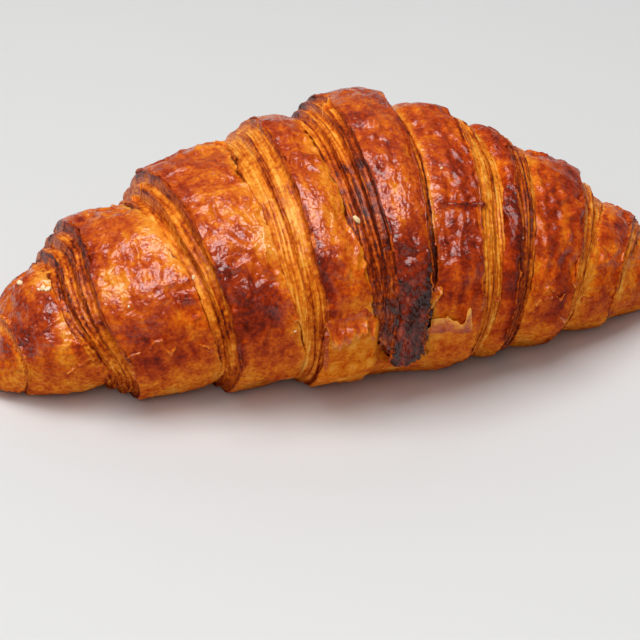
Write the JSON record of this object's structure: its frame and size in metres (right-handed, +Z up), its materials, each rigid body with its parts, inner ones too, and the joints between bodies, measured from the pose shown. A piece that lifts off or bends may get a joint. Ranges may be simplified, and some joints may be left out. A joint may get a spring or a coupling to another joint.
{
  "type": "croissant",
  "caption": "Straight butter croissant, rolled from laminated dough with stepped flaky turns and a dark baked tail, resting on its flat underside.",
  "frame": {"origin": "middle of the bounding box on the surface that the croissant rests on", "axes": "+X along the roll towards its slimmer end, -Y is the front where the tail ends, +Z up"},
  "size_m": [0.175, 0.0849, 0.0585],
  "materials": {
    "crust": "egg-washed flaky pastry crust, glossy deep brown skins over golden layered cut edges"
  },
  "bodies": {
    "root": {"croissant": "crust"}
  },
  "joints": []
}
